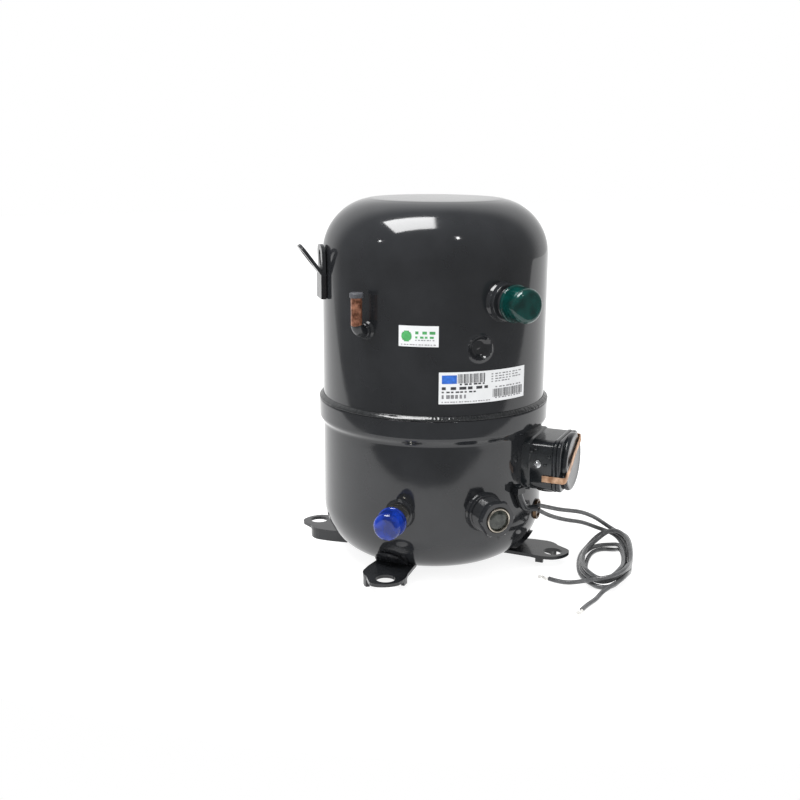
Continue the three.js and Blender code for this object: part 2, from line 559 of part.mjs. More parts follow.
add('balance_weight', sleeve(28, 40, STATOR_TOP + 4 + GAP, STATOR_TOP + 16, 32).intersect(
  block(-50, -4, -50, 50, STATOR_TOP, STATOR_TOP + 30)), ...STEEL);

// ---- suction muffler, discharge line and spring suspension ----
const mufflerShape = new THREE.Shape();
mufflerShape.absarc(0, 0, 103, radians(66), radians(114), false);
mufflerShape.absarc(0, 0, HOUSING.r + 3, radians(114), radians(66), true);
add('suction_muffler', prism(mufflerShape, 88, 138, 5), ...STEEL);
const lineEnd = polar(102.4, DISCHARGE.azimuth, DISCHARGE.z);
const lineBend = polar(97, DISCHARGE.azimuth, DISCHARGE.z - 2);
add('discharge_line', tube([
  [-95, -8, PUMP_Z - 30.6], [-95, -8.3, 73], [-93.5, -20, 65], [-88, -40, 63], [-78, -58, 65],
  lineBend, lineEnd], 4, { steps: 18, sides: 8 }), ...COPPER);
const SPRING = { bottom: 55, top: HOUSING.top, coil: 7, wire: 1.6, turns: 4 };
const posts = corners.map((a) => atCorner(rod(6, BASE_Z + WALL + 7.2, 54, 12), a));
add('suspension_cradle', join(sleeve(68, 90, 52, SPRING.bottom, 28), ...posts), ...STEEL);
const SPRING_NAMES = ['spring_a', 'spring_b', 'spring_c', 'spring_d'];
corners.forEach((azimuth, i) => {
  const low = SPRING.bottom + SPRING.wire + 2 * GAP;
  const rise = SPRING.top - SPRING.bottom - 2 * SPRING.wire - 4 * GAP - 1;
  const helix = Array.from({ length: SPRING.turns * 8 + 1 }, (_, k) => {
    const a = (k * Math.PI) / 4;
    return [SPRING.coil * Math.cos(a), SPRING.coil * Math.sin(a), low + (rise * k) / (SPRING.turns * 8)];
  });
  add(SPRING_NAMES[i], atCorner(tube(helix, SPRING.wire, { steps: 26, sides: 6 }), azimuth), ...STEEL);
});

// ---- stand the assembly on the origin: box centred in X and Y, feet on z = 0 ----
const leads = new Set(['lead_sheath', 'lead_upper', 'lead_lower', 'lead_hank', 'lead_tail_1', 'lead_tail_2']);
const body = new THREE.Box3();
group.children.filter((node) => !leads.has(node.name)).forEach((node) => body.expandByObject(node));
const centre = body.getCenter(new THREE.Vector3());
group.position.set(-centre.x, -centre.y, -body.min.z);
group.updateMatrixWorld(true);

export default group;
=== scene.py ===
import json
import math

import bmesh
import bpy
from mathutils import Matrix, Vector, noise


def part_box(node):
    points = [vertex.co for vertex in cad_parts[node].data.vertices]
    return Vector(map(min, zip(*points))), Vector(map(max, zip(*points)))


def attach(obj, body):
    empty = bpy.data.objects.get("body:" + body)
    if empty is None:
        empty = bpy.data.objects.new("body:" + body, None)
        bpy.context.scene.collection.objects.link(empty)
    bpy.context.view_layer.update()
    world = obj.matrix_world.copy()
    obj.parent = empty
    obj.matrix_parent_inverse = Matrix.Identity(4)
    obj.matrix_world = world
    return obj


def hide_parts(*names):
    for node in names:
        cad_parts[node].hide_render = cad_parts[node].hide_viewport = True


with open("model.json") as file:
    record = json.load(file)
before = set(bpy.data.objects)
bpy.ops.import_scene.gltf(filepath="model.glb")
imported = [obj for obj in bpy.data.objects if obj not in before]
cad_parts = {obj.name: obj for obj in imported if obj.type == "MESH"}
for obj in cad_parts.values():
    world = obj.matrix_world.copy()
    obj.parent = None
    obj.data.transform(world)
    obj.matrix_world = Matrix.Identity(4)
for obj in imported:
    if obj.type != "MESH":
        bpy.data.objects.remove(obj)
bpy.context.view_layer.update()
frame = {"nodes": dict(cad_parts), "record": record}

# Shapes are drawn in millimetres about the shell axis, and ROW carries them to the row frame in metres.
shell_low, shell_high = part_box("upper_shell")
AXIS = Vector(((shell_low.x + shell_high.x) / 2, (shell_low.y + shell_high.y) / 2, 0))
ROW = Matrix.Translation(AXIS) @ Matrix.Scale(0.001, 4)
HERE = Matrix.Identity(4)

SHELL_R = 115.5
BELL_R = 119.8
SUCTION = (-80.5, 283)
DISCHARGE = (-131.5, 74)
SIGHT = (-89, 75)
TERMINAL = (-47, 114)
PROCESS = (-150, 254)
HEATER = (-45, 57)
DIMPLE = (-93.3, 240)


# ---- places ----
def radial(azimuth, z):
    """A frame on the shell axis: x runs round the shell, y up and z outwards at that azimuth."""
    a = math.radians(azimuth)
    out = Vector((math.cos(a), math.sin(a), 0))
    up = Vector((0, 0, 1))
    around = up.cross(out)
    turned = Matrix((around, up, out)).transposed().to_4x4()
    return Matrix.Translation((0, 0, z)) @ turned


def spun(azimuth):
    return Matrix.Rotation(math.radians(azimuth), 4, "Z")


def shift(x, y, z):
    return Matrix.Translation((x, y, z))


def polar(r, azimuth, z):
    a = math.radians(azimuth)
    return (r * math.cos(a), r * math.sin(a), z)


# ---- camera ----
EYE = (-510.2, -1063.5, 443.46)
LOOK_AZIMUTH = math.radians(23.92)
PITCH = math.radians(13.38)
ROLL = math.radians(0.32)

camera_data = bpy.data.cameras.new("camera")
camera_data.sensor_width = 36
camera_data.lens = 51.47
camera = bpy.data.objects.new("camera", camera_data)
bpy.context.scene.collection.objects.link(camera)
forward = Vector((
    math.sin(LOOK_AZIMUTH) * math.cos(PITCH),
    math.cos(LOOK_AZIMUTH) * math.cos(PITCH),
    -math.sin(PITCH)))
level = Vector((math.cos(LOOK_AZIMUTH), -math.sin(LOOK_AZIMUTH), 0))
above = level.cross(forward)
right = level * math.cos(ROLL) + above * math.sin(ROLL)
up = above * math.cos(ROLL) - level * math.sin(ROLL)
facing = Matrix((right, up, -forward)).transposed().to_4x4()
camera.matrix_world = Matrix.Translation(ROW @ Vector(EYE)) @ facing
bpy.context.scene.camera = camera
bpy.context.scene.view_settings.view_transform = "Standard"


# ---- materials ----
def material(name, colour, *, vary=0.1, grain=60, rough=(0.3, 0.4), bump=0.0, bump_grain=300,
             metal=0.0, clear=0.0, ior=1.5, second=None):
    """A procedural surface: mottled colour, uneven gloss and a fine relief of that depth in metres."""
    made = bpy.data.materials.new(name)
    made.use_nodes = True
    nodes, links = made.node_tree.nodes, made.node_tree.links
    shader = nodes["Principled BSDF"]
    place = nodes.new("ShaderNodeTexCoord")

    def cloud(scale, depth):
        made_noise = nodes.new("ShaderNodeTexNoise")
        made_noise.inputs["Scale"].default_value = scale
        made_noise.inputs["Detail"].default_value = depth
        links.new(place.outputs["Object"], made_noise.inputs["Vector"])
        return made_noise.outputs["Fac"]

    dark = [c * (1 - vary) for c in colour]
    light = second or [min(1, c * (1 + vary)) for c in colour]
    ramp = nodes.new("ShaderNodeValToRGB")
    ramp.color_ramp.elements[0].position = 0.35
    ramp.color_ramp.elements[0].color = (*dark, 1)
    ramp.color_ramp.elements[1].position = 0.65
    ramp.color_ramp.elements[1].color = (*light, 1)
    links.new(cloud(grain, 4), ramp.inputs["Fac"])
    links.new(ramp.outputs["Color"], shader.inputs["Base Color"])

    gloss = nodes.new("ShaderNodeMapRange")
    gloss.inputs["From Min"].default_value = 0.3
    gloss.inputs["From Max"].default_value = 0.7
    gloss.inputs["To Min"].default_value = rough[0]
    gloss.inputs["To Max"].default_value = rough[1]
    links.new(cloud(grain * 0.6, 3), gloss.inputs["Value"])
    links.new(gloss.outputs["Result"], shader.inputs["Roughness"])

    if bump:
        relief = nodes.new("ShaderNodeBump")
        relief.inputs["Strength"].default_value = 1
        relief.inputs["Distance"].default_value = bump
        links.new(cloud(bump_grain, 2), relief.inputs["Height"])
        links.new(relief.outputs["Normal"], shader.inputs["Normal"])
    shader.inputs["Metallic"].default_value = metal
    shader.inputs["Transmission Weight"].default_value = clear
    shader.inputs["IOR"].default_value = ior
    return made


ENAMEL = material("enamel", (0.016, 0.017, 0.019), vary=0.15, grain=25, rough=(0.07, 0.12), bump=1.2e-5,
                  bump_grain=160, ior=1.52)
WELD = material("weld", (0.016, 0.017, 0.018), vary=0.3, grain=300, rough=(0.09, 0.18), bump=4e-5,
                bump_grain=300, ior=1.52)
PRESSED = material("pressed_enamel", (0.014, 0.015, 0.017), vary=0.2, grain=60, rough=(0.12, 0.24),
                   bump=3e-5, bump_grain=240)
PLASTIC = material("black_plastic", (0.012, 0.014, 0.016), vary=0.2, grain=80, rough=(0.1, 0.2),
                   bump=2e-5, bump_grain=300)
COPPER = material("copper", (0.50, 0.22, 0.10), vary=0.35, grain=90, rough=(0.25, 0.5), metal=0.9,
                  bump=4e-5, bump_grain=260, second=(0.72, 0.40, 0.24))
STRAP = material("worn_copper", (0.42, 0.22, 0.12), vary=0.3, grain=120, rough=(0.3, 0.55), metal=0.7,
                 bump=5e-5, bump_grain=400, second=(0.72, 0.47, 0.31))
STEEL = material("steel", (0.55, 0.56, 0.57), vary=0.15, grain=150, rough=(0.2, 0.38), metal=1.0,
                 bump=2e-5, bump_grain=500)
BRIGHT = material("bright_steel", (0.62, 0.60, 0.55), vary=0.2, grain=120, rough=(0.12, 0.3), metal=1.0,
                  bump=2e-5, bump_grain=300)
IRON = material("cast_iron", (0.12, 0.12, 0.125), vary=0.3, grain=200, rough=(0.55, 0.75), metal=0.6,
                bump=2e-4, bump_grain=700)
LAMINATION = material("lamination", (0.28, 0.29, 0.30), vary=0.2, grain=300, rough=(0.4, 0.6), metal=0.8,
                      bump=5e-5, bump_grain=900)
ALUMINIUM = material("aluminium", (0.55, 0.56, 0.58), vary=0.12, grain=120, rough=(0.35, 0.5), metal=1.0,
                     bump=5e-5, bump_grain=500)
WINDINGS = material("windings", (0.38, 0.14, 0.05), vary=0.4, grain=400, rough=(0.25, 0.4), metal=0.3,
                    bump=3e-4, bump_grain=700)
RUBBER = material("rubber", (0.045, 0.047, 0.05), vary=0.25, grain=300, rough=(0.45, 0.6),
                  bump=4e-5, bump_grain=600)
LEAD = material("lead_jacket", (0.085, 0.087, 0.09), vary=0.2, grain=200, rough=(0.2, 0.3),
                bump=3e-5, bump_grain=700)
TINNED = material("tinned_wire", (0.80, 0.79, 0.76), vary=0.25, grain=500, rough=(0.35, 0.5), metal=0.5,
                  bump=2e-4, bump_grain=900)
TEAL = material("teal_plastic", (0.002, 0.060, 0.052), vary=0.4, grain=90, rough=(0.07, 0.15), clear=0.55,
                ior=1.49, bump=1e-5, bump_grain=200)
BLUE = material("blue_plastic", (0.008, 0.045, 0.40), vary=0.4, grain=90, rough=(0.07, 0.15), clear=0.5,
                ior=1.49, bump=1e-5, bump_grain=200)
GLASS = material("sight_glass", (0.018, 0.023, 0.019), vary=0.4, grain=170, rough=(0.05, 0.12), clear=0.2,
                 second=(0.065, 0.072, 0.062), ior=1.5)
FILM = material("label_film", (0.74, 0.75, 0.76), vary=0.03, grain=60, rough=(0.3, 0.42), bump=8e-6,
                bump_grain=120)
BLACK_INK = material("black_ink", (0.035, 0.035, 0.04), vary=0.3, grain=600, rough=(0.4, 0.5))
GREY_INK = material("grey_ink", (0.20, 0.20, 0.21), vary=0.3, grain=600, rough=(0.4, 0.5))
BLUE_INK = material("blue_ink", (0.02, 0.13, 0.55), vary=0.2, grain=300, rough=(0.4, 0.5))
GREEN_INK = material("green_ink", (0.06, 0.33, 0.10), vary=0.25, grain=300, rough=(0.4, 0.5))
BRASS = material("ring_brass", (0.46, 0.42, 0.36), vary=0.15, grain=160, rough=(0.18, 0.32), metal=1.0,
                 bump=1e-5, bump_grain=300)
BRONZE = material("dark_bronze", (0.10, 0.06, 0.03), vary=0.4, grain=160, rough=(0.25, 0.4), metal=0.7,
                  bump=5e-5, bump_grain=400)
TUBE_COPPER = material("tarnished_copper", (0.20, 0.075, 0.04), vary=0.4, grain=240, rough=(0.28, 0.5),
                       metal=0.65, bump=5e-5, bump_grain=420, second=(0.46, 0.21, 0.13))
PLUG = material("plug_rubber", (0.06, 0.062, 0.07), vary=0.2, grain=200, rough=(0.4, 0.55), bump=4e-5,
                bump_grain=500)


# ---- mesh helpers ----
def piece(name, verts, faces, place, finish, body="shell", replaces=(), slot=None, angle=40):
    mesh = bpy.data.meshes.new(name)
    mesh.from_pydata([tuple(v) for v in verts], [], faces)
    mesh.transform(ROW @ place)
    tidy = bmesh.new()
    tidy.from_mesh(mesh)
    bmesh.ops.recalc_face_normals(tidy, faces=tidy.faces)
    tidy.to_mesh(mesh)
    tidy.free()
    made = bpy.data.objects.new(name, mesh)
    bpy.context.scene.collection.objects.link(made)
    smooth(made, angle)
    if finish is not None:
        dress(made, finish, body, replaces)
    return made


def smooth(made, angle=40):
    made.data.shade_smooth()
    made.data.set_sharp_from_angle(angle=math.radians(angle))


def dress(made, finish, body, replaces=()):
    made.data.materials.clear()
    made.data.materials.append(finish)
    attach(made, body)
    if replaces:
        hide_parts(*replaces)


def settle(made):
    """Keeps the mesh as its modifiers leave it."""
    depsgraph = bpy.context.evaluated_depsgraph_get()
    final = bpy.data.meshes.new_from_object(made.evaluated_get(depsgraph))
    made.modifiers.clear()
    made.data = final


def carve(made, cutter):
    """Cuts one solid out of another and drops the cutter."""
    step = made.modifiers.new("cut", "BOOLEAN")
    step.operation = "DIFFERENCE"
    step.solver = "EXACT"
    step.object = cutter
    settle(made)
    bpy.data.objects.remove(cutter)


def bevel(made, width, angle):
    """Rounds the edges that turn by more than that angle."""
    edge = made.modifiers.new("edges", "BEVEL")
    edge.width = width / 1000
    edge.segments = 3
    edge.limit_method = "ANGLE"
    edge.angle_limit = math.radians(angle)


def rounded(points, radius, steps=4, closed=False):
    """Rounds the corners of a line of 2D points."""
    done = []
    count = len(points)
    for i, p in enumerate(points):
        if not closed and i in (0, count - 1):
            done.append(p)
            continue
        here = Vector(p)
        before = Vector(points[i - 1]) - here
        after = Vector(points[(i + 1) % count]) - here
        reach = min(radius, before.length * 0.45, after.length * 0.45)
        start = here + before.normalized() * reach
        end = here + after.normalized() * reach
        for k in range(steps + 1):
            t = k / steps
            done.append(tuple(start * (1 - t) ** 2 + here * 2 * t * (1 - t) + end * t * t))
    return done


def lathe(name, profile, place, finish, segments=96, shape=None, **rest):
    """Revolves [radius, z] pairs about z. shape gives each point a new radius, from its radius, z and turn."""
    verts, rings = [], []
    for r, z in profile:
        if r < 1e-6:
            rings.append([len(verts)] * segments)
            verts.append((0, 0, z))
            continue
        rings.append(list(range(len(verts), len(verts) + segments)))
        for k in range(segments):
            a = 2 * math.pi * k / segments
            here = shape(r, z, a) if shape else r
            verts.append((here * math.cos(a), here * math.sin(a), z))
    if profile[0][0] > 1e-6:
        rings.append(rings[0])
    faces = []
    for low, high in zip(rings, rings[1:]):
        for k in range(segments):
            n = (k + 1) % segments
            corners = []
            for v in (low[k], low[n], high[n], high[k]):
                if v not in corners:
                    corners.append(v)
            if len(corners) > 2:
                faces.append(corners)
    return piece(name, verts, faces, place, finish, **rest)


def prism(name, outline, z0, z1, place, finish, **rest):
    count = len(outline)
    verts = [(x, y, z0) for x, y in outline] + [(x, y, z1) for x, y in outline]
    faces = [tuple(range(count)), tuple(range(count, 2 * count))]
    faces += [(i, (i + 1) % count, count + (i + 1) % count, count + i) for i in range(count)]
    return piece(name, verts, faces, place, finish, **rest)


def rectangle(width, height, radius, steps=6):
    x, y = width / 2, height / 2
    return rounded([(-x, -y), (x, -y), (x, y), (-x, y)], radius * 1.3, steps, closed=True)


def box(name, size, centre, place, finish=None, **rest):
    w, h, d = size
    outline = [(-w / 2, -h / 2), (w / 2, -h / 2), (w / 2, h / 2), (-w / 2, h / 2)]
    return prism(name, outline, -d / 2, d / 2, place @ shift(*centre), finish, **rest)


def arc(cx, cy, r, start, end, count):
    turns = [math.radians(start + (end - start) * i / count) for i in range(count + 1)]
    return [(cx + r * math.cos(a), cy + r * math.sin(a)) for a in turns]


def catmull(points, spacing):
    """Points about that far apart on a smooth line through the given ones."""
    points = [Vector(p) for p in points]
    ends = [points[0] * 2 - points[1], *points, points[-1] * 2 - points[-2]]
    done = [points[0]]
    for a, b, c, d in zip(ends, ends[1:], ends[2:], ends[3:]):
        count = max(1, round((c - b).length / spacing))
        for k in range(1, count + 1):
            t = k / count
            done.append(0.5 * (2 * b + (c - a) * t + (2 * a - 5 * b + 4 * c - d) * t ** 2
                               + (3 * b - a - 3 * c + d) * t ** 3))
    return done


def tube(name, points, radius, place, finish, replaces=(), sides=6):
    """A round wire along points, as a curve with one open spline."""
    curve = bpy.data.curves.new(name, "CURVE")
    curve.dimensions = "3D"
    curve.bevel_depth = radius / 1000
    curve.bevel_resolution = sides
    curve.use_fill_caps = True
    line = curve.splines.new("POLY")
    line.points.add(len(points) - 1)
    line.use_smooth = True
    for point, p in zip(line.points, points):
        point.co = (*(ROW @ place @ Vector(p)), 1)
    made = bpy.data.objects.new(name, curve)
    bpy.context.scene.collection.objects.link(made)
    dress(made, finish, "shell", replaces)
    return made


# ---- heater leads: down from the sheath, round the hank on the floor, out to two bare tips ----
LEAD_R = 2.2
TAIL_Z = LEAD_R + 0.1
HANK = {"x": 142, "y": -122.5, "azimuth": 55.8}
# How square the hank's ovals are, 1 being a true oval, and in degrees of turn the distance between its points
# and the stretch over which it comes down to the floor.
BLUNTNESS = 2 / 2.2
STATION = 15
DESCENT = 170
upper_run = [
    (67.4, -109.5, 71.4), (82.3, -104, 65.6), (101.2, -97.1, 58.2), (118.9, -90.6, 52.6), (137, -84, 46.5),
    (161.1, -75.1, 34), (177.2, -69.3, 22), (185, -66, 17.6), (190, -63.5, 16.6)]
lower_run = [
    (67.4, -109.5, 66.4), (78.6, -104.5, 59.2), (93.7, -98, 51.3), (117.6, -87.7, 41.2), (142.2, -77, 32.3),
    (164, -67.6, 21), (174, -63.6, 17.3), (180, -60.8, 16.6)]
tail_1 = [(80.5, -157.2, TAIL_Z), (76, -155, TAIL_Z), (71, -148.5, TAIL_Z), (66, -137.1, TAIL_Z)]
tail_2 = [(90.5, -191, TAIL_Z), (86.5, -196.5, TAIL_Z), (79, -201.5, TAIL_Z), (69, -205.5, TAIL_Z),
          (54.7, -215.6, TAIL_Z)]


def hank_point(turn, along, across, long, wide):
    """A point of one turn of the hank, on a rounded oval, by its turn in degrees from the far end."""
    a = math.radians(turn)
    u = along + long * math.copysign(abs(math.cos(a)) ** BLUNTNESS, math.cos(a))
    v = across + wide * math.copysign(abs(math.sin(a)) ** BLUNTNESS, math.sin(a))
    t = math.radians(HANK["azimuth"])
    return (HANK["x"] + u * math.cos(t) - v * math.sin(t), HANK["y"] + u * math.sin(t) + v * math.cos(t))


def winding(turns, start, end, high):
    """Points of a hank, passing smoothly from each oval to the next, that first come down from that height."""
    points = []
    count = round((start - end) / STATION)
    for i in range(count + 1):
        turn = start + (end - start) * i / count
        share = (start - turn) / 360
        index = min(int(share), len(turns) - 1)
        after = min(index + 1, len(turns) - 1)
        mix = share - int(share)
        mix = mix * mix * (3 - 2 * mix)
        oval = [p * (1 - mix) + q * mix for p, q in zip(turns[index], turns[after])]
        down = min(1, (start - turn) / DESCENT)
        rest = 1 - down * down * (3 - 2 * down)
        points.append((*hank_point(turn, *oval), LEAD_R + (high - LEAD_R) * rest))
    return points


def laid(route, below, fixed):
    """Raises a route so that it rests on the wires laid before it. The points up to fixed keep their height."""
    # In points: how far back along itself a route counts as laid before, and how far a crossing lifts it.
    behind = 12
    reach = 8
    need = []
    for i, p in enumerate(route):
        low = max(LEAD_R, p.z)
        others = below + [q for j, q in enumerate(route[:max(0, i - behind)]) if j >= fixed]
        for q in others:
            gap = math.hypot(p.x - q.x, p.y - q.y)
            if gap < 2 * LEAD_R + 0.1:
                low = max(low, q.z + math.sqrt(max(0, (2 * LEAD_R + 0.15) ** 2 - gap * gap)))
        if i >= fixed:
            need.append(low)
            route[i] = Vector((p.x, p.y, low))
        else:
            need.append(0)
    lifted = []
    for i, p in enumerate(route):
        if i < fixed:
            lifted.append(p)
            continue
        best = need[i]
        for j in range(max(fixed, i - reach), min(len(route), i + reach + 1)):
            fall = math.cos(math.pi / 2 * abs(i - j) / (reach + 1)) ** 2
            best = max(best, LEAD_R + (need[j] - LEAD_R) * fall)
        lifted.append(Vector((p.x, p.y, best)))
    return lifted


def eased(route, passes, axes):
    """Takes the sharpness out of a route along those axes, leaving its ends where they are."""
    for _ in range(passes):
        before = [p.copy() for p in route]
        for i in range(1, len(route) - 1):
            for axis in axes:
                route[i][axis] = (before[i - 1][axis] + 2 * before[i][axis] + before[i + 1][axis]) / 4
    return route


SPACING = 2.5
EASING = 24
LEVEL = (0, 1)
HEIGHT = (2,)
# Each run's last two points lie in the hank's own block, where its first turn takes over.
upper_loose = upper_run[:-2]
lower_loose = lower_run[:-2]
lead_1_start = len(catmull(upper_loose, SPACING)) - 4
lead_2_start = len(catmull(lower_loose, SPACING)) - 4
# Each turn of the hank is an oval: its shift along and across the hank, and its two half-lengths.
lead_1 = catmull(upper_loose + winding(
    [(-2, -1, 65, 27), (-14, 3, 57, 21), (-9, -2, 61, 24), (-14, 2, 63, 28)], -12, -910, 17) + tail_1, SPACING)
lead_2 = catmull(lower_loose + winding(
    [(-3, 2, 64, 24), (-15, 0, 59, 18), (-9, 1, 66, 27), (-12, -2, 64, 23)], 8, -870, 17) + tail_2, SPACING)
lead_2 = laid(eased(lead_2, EASING, LEVEL), [], lead_2_start)
lead_1 = laid(eased(lead_1, EASING, LEVEL), lead_2[lead_2_start:], lead_1_start)
lead_1 = eased(lead_1, EASING, HEIGHT)
lead_2 = eased(lead_2, EASING, HEIGHT)


def length_of(points):
    return sum((b - a).length for a, b in zip(points, points[1:])) / 1000


def bare_end(name, points):
    """The tinned strands that stand out of a lead's cut jacket."""
    start, end = Vector(points[-2]), Vector(points[-1])
    way = (end - start).normalized()
    side = Vector((-way.y, way.x, 0))
    tip = [end - way * 2, end + way * 4 + side * 0.8, end + way * 8 - side * 0.9, end + way * 12 + side * 1.6]
    tip = [Vector((p.x, p.y, 1.7)) for p in tip]
    return tube(name, catmull(tip, 1), 1.5, HERE, TINNED, sides=5)


tips = {name: bare_end(name, points) for name, points in
        (("lead_tip_1", lead_1), ("lead_tip_2", lead_2))}
for name, points, tip, nodes in (
        ("heater_lead_1", lead_1, "lead_tip_1", ("lead_upper", "lead_tail_1", "lead_hank")),
        ("heater_lead_2", lead_2, "lead_tip_2", ("lead_lower", "lead_tail_2"))):
    wire = tube(name, points, LEAD_R, HERE, LEAD, replaces=nodes)
    print(name, "length", round(length_of(points), 3))

# ---- shell ----
TOP_Z = 375
WALL = 4
BELL_BOTTOM = 150.5
BELL_TOP = 170
# Corner roundings of the shell, as the radius and height of their centre and their own radius.
CORNER = (59.5, 319, 56)
BASE = (61.5, 58, 54)


def wall(r, z0, z1, step):
    count = max(1, round(abs(z1 - z0) / step))
    return [(r, z0 + (z1 - z0) * i / count) for i in range(count + 1)]


def dimple(r, z, a):
    """A round pressed mark with a raised lip."""
    if r < SHELL_R - 0.5:
        return r
    across = math.radians((math.degrees(a) - DIMPLE[0] + 180) % 360 - 180) * SHELL_R
    d = math.hypot(across, z - DIMPLE[1])
    if d > 15:
        return r
    lip = 1.5 * math.exp(-((d - 12.2) / 1.5) ** 2)
    bowl = -6.0 * max(0, 1 - (d / 11.6) ** 2)
    nipple = 3.0 * math.exp(-(d / 3.2) ** 2)
    return r + lip + bowl + nipple


upper_profile = [
    (0, TOP_Z - WALL), (CORNER[0], TOP_Z - WALL),
    *arc(CORNER[0], CORNER[1], CORNER[2] - WALL, 88, 0, 10),
    (SHELL_R - WALL, 153.5), (SHELL_R, 153.5),
    *wall(SHELL_R, 154, 222, 12), *wall(SHELL_R, 224, 256, 1.1), *wall(SHELL_R, 262, 312, 8),
    *arc(CORNER[0], CORNER[1], CORNER[2], 0, 79, 40),
    (69, 374.3), (68, 374.45), (67, 374.58), (66, 374.68), (64, 374.8), (60, 374.92), (52, 375.02),
    (40, 375.1), (25, 375.2), (12, 375.25), (0, 375.25)]
lathe("shell_top", upper_profile, HERE, ENAMEL, 384, dimple, replaces=["upper_shell"], slot="enamel")

lower_outer = [
    (0, 4), (40, 4), (BASE[0] - 2, 4), *arc(BASE[0], BASE[1], BASE[2], -88, 0, 24),
    *wall(SHELL_R, 62, 138, 12),
    *rounded([(SHELL_R, 140), (SHELL_R, 145), (BELL_R, BELL_BOTTOM), (BELL_R, BELL_TOP),
              (SHELL_R + 0.3, BELL_TOP)], 2.6, 8)[1:]]
lower_inner = [
    (SHELL_R + 0.3, 152.5), (SHELL_R - WALL, 147.5), *arc(BASE[0], BASE[1], BASE[2] - WALL, 0, -88, 10), (0, 8)]
lathe("shell_bottom", lower_outer + lower_inner, HERE, ENAMEL, 288, replaces=["lower_shell"], slot="enamel")

# The weld bead is even over this run of its turn, in degrees, and rougher beyond it.
SMOOTH_RUN = {"middle": 223, "half": 17}


def ripple(r, z, a):
    """The uneven face of a weld bead run round the rim."""
    if r < SHELL_R + 1:
        return r
    place = Vector((math.cos(a) * 45, math.sin(a) * 45, z * 0.5))
    turn = math.degrees(a) % 360
    roughness = 1 / (1 + math.exp(-abs(turn - SMOOTH_RUN["middle"]) + SMOOTH_RUN["half"]))
    return r + (0.1 + 0.35 * roughness) * noise.noise(place) + 0.16 * roughness * math.sin(a * 210)


lathe("seam_bead", [
    (SHELL_R + 0.25, BELL_TOP + 0.2), (BELL_R - 0.2, BELL_TOP + 0.2), (BELL_R + 0.1, BELL_TOP + 0.8),
    (BELL_R - 0.3, BELL_TOP + 1.6), (BELL_R - 1.6, BELL_TOP + 2.7), (BELL_R - 2.9, BELL_TOP + 3.8),
    (BELL_R - 3.6, BELL_TOP + 4.2), (SHELL_R + 0.25, BELL_TOP + 4.4)],
    HERE, WELD, 720, ripple, replaces=["seam_weld"], slot="enamel", angle=80)


# ---- feet ----
for side in ("front", "right", "rear", "left"):
    node = frame["nodes"]["foot_" + side]
    smooth(node, 35)
    bevel(node, 0.9, 40)
    node.data.materials.clear()
    node.data.materials.append(PRESSED)

# ---- lifting lug ----
bevel(frame["nodes"]["lifting_lug"], 0.8, 35)

# ---- threaded spigots and their caps ----
SUCTION_PLACE = radial(*SUCTION)
DISCHARGE_PLACE = radial(*DISCHARGE)
SIGHT_PLACE = radial(*SIGHT)
TERMINAL_PLACE = radial(*TERMINAL)


def thread(r, depth, start, end, pitch):
    """The toothed line of a thread, from start to end along z."""
    count = round((end - start) / pitch)
    points = []
    for i in range(count):
        low = start + (end - start) * i / count
        step = (end - start) / count
        points += [(r - depth, low), (r - depth * 0.2, low + step * 0.3), (r, low + step * 0.5),
                   (r - depth * 0.2, low + step * 0.7)]
    return points + [(r - depth, end)]


def brazed(r, end, spread=2.2):
    """The outer line of a round collar brazed onto the shell."""
    return [(r + spread, 112.6), (r + spread * 0.7, 115.2), (r + spread * 0.25, 116.5), (r, 118.2),
            (r, end - 0.9), (r - 0.3, end - 0.25), (r - 1, end)]


lathe("suction_fitting", [
    (11, 106), (13, 106), (13, 112), *brazed(18.5, 123), (14.5, 123.2), (14.5, 125),
    *thread(15.9, 0.9, 125.4, 148.4, 1.6), (14.6, 149), (11.4, 149), (11, 148.4)],
    SUCTION_PLACE, ENAMEL, 128, replaces=["suction_spigot"], slot="enamel", angle=30)
lathe("suction_dust_cap", [
    (0, 152), (15.8, 152), (16.2, 151.6), (16.2, 131), (17.7, 131), (18.05, 131.5), (18.05, 133.4),
    (17.7, 134), (17.2, 134.4), (17.1, 140), (16.9, 148.8), (16.5, 151), (15.6, 152.8), (14.3, 154.1),
    (12.9, 154.8), (11.6, 155), (5, 154.7), (0, 154.6)],
    SUCTION_PLACE, TEAL, 128, body="suction_cap", replaces=["suction_cap"], slot="teal_plastic", angle=50)
lathe("discharge_fitting", [
    (7.5, 106), (9.5, 106), (9.5, 112), *brazed(14, 119, 1.8), (10.5, 119.2), (10.5, 136.6),
    *thread(12.5, 0.8, 137, 153.4, 1.5), (11.4, 154), (7.9, 154), (7.5, 153.4)],
    DISCHARGE_PLACE, ENAMEL, 128, replaces=["discharge_spigot"], slot="enamel", angle=30)
lathe("discharge_neck", [
    (10.55, 120), (11.6, 120), (11.9, 121), (11.5, 122.4), (11.1, 124), (11.1, 134.6), (12.2, 135.4),
    (12.2, 136.4), (10.55, 136.4)], DISCHARGE_PLACE, BRIGHT, 96, slot="steel")
lathe("discharge_dust_cap", [
    (0, 157), (12.4, 157), (12.8, 156.6), (12.8, 139), (14.3, 139), (14.7, 139.5), (14.7, 141.2),
    (14.3, 141.8), (13.9, 142.1), (13.9, 148), (13.7, 154.4), (13.3, 156.4), (12.4, 158.1), (11, 159.3),
    (9.6, 159.9), (8.4, 160), (3, 159.7), (0, 159.6)],
    DISCHARGE_PLACE, BLUE, 128, body="discharge_cap", replaces=["discharge_cap"], slot="blue_plastic", angle=50)

